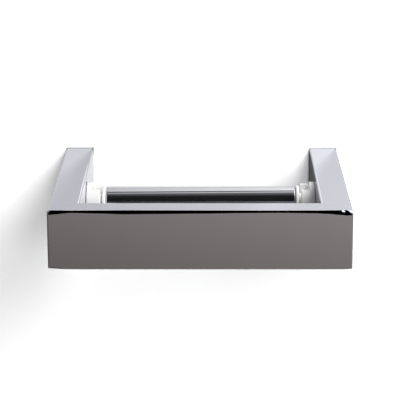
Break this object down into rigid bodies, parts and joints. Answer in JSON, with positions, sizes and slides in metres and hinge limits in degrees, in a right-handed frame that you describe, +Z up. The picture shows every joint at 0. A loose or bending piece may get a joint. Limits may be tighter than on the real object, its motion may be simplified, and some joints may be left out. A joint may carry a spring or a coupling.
{
  "type": "toilet roll holder",
  "caption": "Wall-mounted toilet roll holder: a U-shaped frame of chromed rectangular tube with a chromed roller that turns freely and lifts out of open white cradles.",
  "frame": {"origin": "on the wall plane, midway between the four wall screws", "axes": "+X along the wall to the right as seen by someone who faces the wall, +Y into the wall, +Z up"},
  "size_m": [0.16, 0.138, 0.032],
  "materials": {
    "frame_chrome": "mirror-polished chrome plate on brass",
    "bracket_steel": "plain machined stainless steel",
    "screw_steel": "stainless steel screws",
    "cradle_plastic": "white moulded acetal, semi-gloss",
    "boss_brass": "turned brass, brazed inside the arm",
    "roller_chrome": "polished chrome plate on thin steel tube",
    "plug_plastic": "white moulded acetal, semi-gloss",
    "axle_steel": "drawn steel rod"
  },
  "bodies": {
    "frame": {"front_bar": "frame_chrome", "left_arm": "frame_chrome", "right_arm": "frame_chrome", "left_wall_bracket": "bracket_steel", "right_wall_bracket": "bracket_steel", "left_lock_screw": "screw_steel", "right_lock_screw": "screw_steel", "left_cradle": "cradle_plastic", "right_cradle": "cradle_plastic", "left_cradle_screw": "screw_steel", "right_cradle_screw": "screw_steel", "left_threaded_boss": "boss_brass", "right_threaded_boss": "boss_brass"},
    "roller_core": {"left_end_plug": "plug_plastic", "right_end_plug": "plug_plastic", "axle_rod": "axle_steel"},
    "roller_sleeve": {"roller_tube": "roller_chrome"}
  },
  "joints": [
    {"name": "roller_lift", "type": "slide", "parent": "frame", "child": "roller_core", "axis": [0, 0, 1], "range_m": [0, 0.035]},
    {"name": "roller_spin", "type": "hinge", "parent": "roller_core", "child": "roller_sleeve", "pos_m": [0, -0.061, 0], "axis": [1, 0, 0], "continuous": true}
  ]
}
